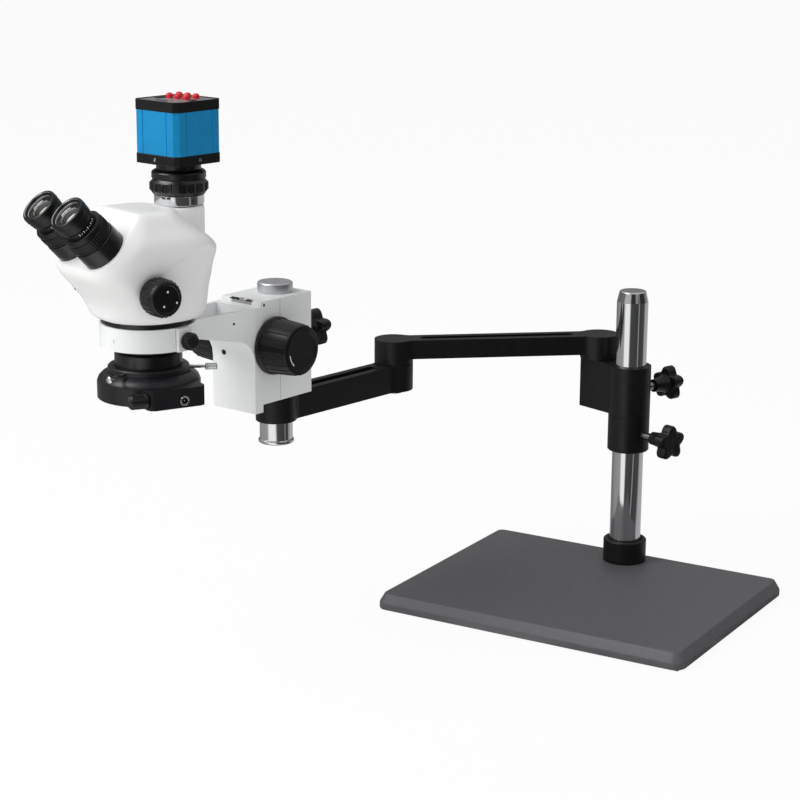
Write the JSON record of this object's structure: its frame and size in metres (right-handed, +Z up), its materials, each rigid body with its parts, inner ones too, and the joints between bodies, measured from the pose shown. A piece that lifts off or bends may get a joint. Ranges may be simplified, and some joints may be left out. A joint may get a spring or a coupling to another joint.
{
  "type": "stereo zoom microscope",
  "caption": "Trinocular stereo zoom microscope with a camera and ring light, held over the bench by a jointed boom arm on a weighted base.",
  "frame": {"origin": "centre of the base's underside, on the bench", "axes": "+Z up, +X along the base's long side, +Y towards the pole, so the microscope head overhangs the front left"},
  "size_m": [0.5095, 0.6283, 0.5243],
  "materials": {
    "base_paint": "textured grey enamel",
    "mat_rubber": "matt black",
    "chrome": "polished",
    "fastener_steel": "satin",
    "black_cast": "black satin enamel",
    "black_plastic": "matt black",
    "aluminium": "satin",
    "grey_block": "light grey enamel on a cast aluminium body",
    "slide_steel": "ground and oiled",
    "gear_brass": "machined",
    "bush_bronze": "machined",
    "barrel_black": "black satin anodised",
    "head_white": "gloss white",
    "lens_glass": "coated",
    "camera_blue": "blue anodised",
    "camera_black": "black satin",
    "panel_silver": "satin silver",
    "button_red": "translucent red",
    "lamp_board": "white board with clear lamps"
  },
  "bodies": {
    "stand": {"base_plate": "base_paint", "base_mat": "mat_rubber", "pole": "chrome", "pole_flange": "black_cast", "pole_bolt": "fastener_steel"},
    "stop_collar": {"stop_collar": "black_cast"},
    "stop_collar_knob": {"stop_collar_knob": "black_plastic"},
    "pole_clamp": {"pole_clamp": "black_cast", "shoulder_pin": "fastener_steel"},
    "pole_clamp_knob": {"pole_clamp_knob": "black_plastic"},
    "upper_arm": {"upper_arm": "black_cast", "elbow_pin": "fastener_steel"},
    "lower_arm": {"lower_arm": "black_cast", "spindle": "chrome", "spindle_cap": "aluminium"},
    "focus_block": {"focus_body": "grey_block", "rack_housing": "grey_block", "pinion_bushes": "bush_bronze"},
    "focus_clamp_knob": {"focus_clamp_knob": "black_plastic"},
    "focus_shaft": {"pinion_shaft": "slide_steel", "focus_knob_right": "black_plastic", "focus_knob_left": "black_plastic"},
    "carriage": {"slide_rail": "slide_steel", "rack": "gear_brass", "ring_bracket": "grey_block"},
    "ring_thumbscrew": {"ring_thumbscrew": "black_plastic"},
    "head": {"body_barrel": "barrel_black", "objective_lens": "lens_glass", "head_shell": "head_white", "port_ring": "chrome"},
    "zoom_drive": {"zoom_shaft": "slide_steel", "zoom_knob_right": "black_plastic", "zoom_knob_left": "black_plastic"},
    "relay_focus_ring": {"relay_focus_ring": "barrel_black"},
    "camera": {"camera_mount": "barrel_black", "camera_lower_cap": "camera_black", "camera_case": "camera_blue", "camera_upper_cap": "camera_black", "camera_panel": "panel_silver"},
    "ring_light": {"ring_light_housing": "black_plastic", "ring_light_lamps": "lamp_board", "dc_jack": "fastener_steel"},
    "dimmer_knob": {"dimmer_knob": "black_plastic"},
    "eyetube_right": {"eyetube_right": "barrel_black", "eyepiece_right": "black_plastic", "eye_lens_right": "lens_glass"},
    "diopter_ring_right": {"diopter_ring_right": "black_plastic"},
    "eyetube_left": {"eyetube_left": "barrel_black", "eyepiece_left": "black_plastic", "eye_lens_left": "lens_glass"},
    "diopter_ring_left": {"diopter_ring_left": "black_plastic"},
    "camera_button_1": {"camera_button_1": "button_red"},
    "camera_button_2": {"camera_button_2": "button_red"},
    "camera_button_3": {"camera_button_3": "button_red"},
    "camera_button_4": {"camera_button_4": "button_red"},
    "camera_button_5": {"camera_button_5": "button_red"},
    "camera_button_6": {"camera_button_6": "button_red"},
    "light_screw_1": {"light_screw_1": "chrome"},
    "light_screw_2": {"light_screw_2": "chrome"},
    "light_screw_3": {"light_screw_3": "chrome"}
  },
  "joints": [
    {"name": "stop_collar_slide", "type": "slide", "parent": "stand", "child": "stop_collar", "axis": [0, 0, 1], "range_m": [-0.09, 0.07]},
    {"name": "stop_collar_knob_turn", "type": "hinge", "parent": "stop_collar", "child": "stop_collar_knob", "pos_m": [0, 0.1, 0.1554], "axis": [0.9511, -0.309, 0], "continuous": true},
    {"name": "clamp_swing", "type": "hinge", "parent": "stop_collar", "child": "pole_clamp", "pos_m": [0, 0.1, 0.2], "axis": [0, 0, 1], "continuous": true},
    {"name": "pole_clamp_knob_turn", "type": "hinge", "parent": "pole_clamp", "child": "pole_clamp_knob", "pos_m": [0, 0.1, 0.19905], "axis": [0.3584, 0.9336, 0], "continuous": true},
    {"name": "shoulder_turn", "type": "hinge", "parent": "pole_clamp", "child": "upper_arm", "pos_m": [-0.04323, 0.11573, 0.23], "axis": [0, 0, 1], "range_deg": [-150, 70]},
    {"name": "elbow_turn", "type": "hinge", "parent": "upper_arm", "child": "lower_arm", "pos_m": [-0.21125, -0.0184, 0.22], "axis": [0, 0, 1], "range_deg": [-140, 100]},
    {"name": "focus_swing", "type": "hinge", "parent": "lower_arm", "child": "focus_block", "pos_m": [-0.2433, -0.18637, 0.275], "axis": [0, 0, -1], "range_deg": [-120, 120]},
    {"name": "focus_clamp_knob_turn", "type": "hinge", "parent": "focus_block", "child": "focus_clamp_knob", "pos_m": [-0.2433, -0.18637, 0.2801], "axis": [0.134, 0.991, 0], "continuous": true},
    {"name": "focus_travel", "type": "slide", "parent": "focus_block", "child": "carriage", "axis": [0, 0, 1], "range_m": [-0.02, 0.025]},
    {"name": "focus_knob_turn", "type": "hinge", "parent": "focus_block", "child": "focus_shaft", "pos_m": [-0.24772, -0.21907, 0.2818], "axis": [0.991, -0.134, 0], "range_deg": [-180, 180]},
    {"name": "ring_thumbscrew_turn", "type": "hinge", "parent": "carriage", "child": "ring_thumbscrew", "pos_m": [-0.26621, -0.35583, 0.3129], "axis": [0.991, -0.134, 0], "continuous": true},
    {"name": "head_turn", "type": "hinge", "parent": "carriage", "child": "head", "pos_m": [-0.26621, -0.35583, 0.32], "axis": [0, 0, 1], "continuous": true},
    {"name": "zoom_turn", "type": "hinge", "parent": "head", "child": "zoom_drive", "pos_m": [-0.27423, -0.37728, 0.3577], "axis": [0.9367, -0.3502, 0], "range_deg": [-120, 120]},
    {"name": "eyetube_right_turn", "type": "hinge", "parent": "head", "child": "eyetube_right", "pos_m": [-0.26689, -0.42506, 0.38892], "axis": [-0.2476, -0.6623, 0.7071], "range_deg": [-20, 0]},
    {"name": "diopter_right_turn", "type": "hinge", "parent": "eyetube_right", "child": "diopter_ring_right", "pos_m": [-0.26392, -0.41711, 0.3974], "axis": [-0.2476, -0.6623, 0.7071], "range_deg": [-160, 160]},
    {"name": "eyetube_left_turn", "type": "hinge", "parent": "head", "child": "eyetube_left", "pos_m": [-0.31111, -0.40853, 0.38892], "axis": [-0.2476, -0.6623, 0.7071], "range_deg": [0, 20]},
    {"name": "diopter_left_turn", "type": "hinge", "parent": "eyetube_left", "child": "diopter_ring_left", "pos_m": [-0.30813, -0.40058, 0.3974], "axis": [-0.2476, -0.6623, 0.7071], "range_deg": [-160, 160]},
    {"name": "relay_focus_turn", "type": "hinge", "parent": "head", "child": "relay_focus_ring", "pos_m": [-0.2536, -0.32211, 0.443], "axis": [0, 0, 1], "range_deg": [-150, 150]},
    {"name": "camera_turn", "type": "hinge", "parent": "head", "child": "camera", "pos_m": [-0.2536, -0.32211, 0.455], "axis": [0, 0, 1], "range_deg": [-180, 180]},
    {"name": "camera_button_1_press", "type": "slide", "parent": "camera", "child": "camera_button_1", "axis": [0, 0, -1], "range_m": [0, 0.0008], "stiffness_N_per_m": 400, "springref_m": -0.0002},
    {"name": "camera_button_2_press", "type": "slide", "parent": "camera", "child": "camera_button_2", "axis": [0, 0, -1], "range_m": [0, 0.0008], "stiffness_N_per_m": 400, "springref_m": -0.0002},
    {"name": "camera_button_3_press", "type": "slide", "parent": "camera", "child": "camera_button_3", "axis": [0, 0, -1], "range_m": [0, 0.0008], "stiffness_N_per_m": 400, "springref_m": -0.0002},
    {"name": "camera_button_4_press", "type": "slide", "parent": "camera", "child": "camera_button_4", "axis": [0, 0, -1], "range_m": [0, 0.0008], "stiffness_N_per_m": 400, "springref_m": -0.0002},
    {"name": "camera_button_5_press", "type": "slide", "parent": "camera", "child": "camera_button_5", "axis": [0, 0, -1], "range_m": [0, 0.0008], "stiffness_N_per_m": 400, "springref_m": -0.0002},
    {"name": "camera_button_6_press", "type": "slide", "parent": "camera", "child": "camera_button_6", "axis": [0, 0, -1], "range_m": [0, 0.0008], "stiffness_N_per_m": 400, "springref_m": -0.0002},
    {"name": "light_turn", "type": "hinge", "parent": "head", "child": "ring_light", "pos_m": [-0.26621, -0.35583, 0.27], "axis": [0, 0, 1], "continuous": true},
    {"name": "light_screw_1_turn", "type": "hinge", "parent": "ring_light", "child": "light_screw_1", "pos_m": [-0.26621, -0.35583, 0.2823], "axis": [0.8406, 0.5417, 0], "continuous": true},
    {"name": "light_screw_2_turn", "type": "hinge", "parent": "ring_light", "child": "light_screw_2", "pos_m": [-0.26621, -0.35583, 0.2823], "axis": [-0.8894, 0.4571, 0], "continuous": true},
    {"name": "light_screw_3_turn", "type": "hinge", "parent": "ring_light", "child": "light_screw_3", "pos_m": [-0.26621, -0.35583, 0.2823], "axis": [0.0489, -0.9988, 0], "continuous": true},
    {"name": "dimmer_turn", "type": "hinge", "parent": "ring_light", "child": "dimmer_knob", "pos_m": [-0.23558, -0.40044, 0.26435], "axis": [-0.4879, -0.8729, 0], "range_deg": [-135, 135]}
  ],
  "couplings": [
    {"joint": "focus_knob_turn", "follows": "focus_travel", "rad_per_m": -125},
    {"joint": "eyetube_left_turn", "follows": "eyetube_right_turn", "ratio": -1}
  ]
}
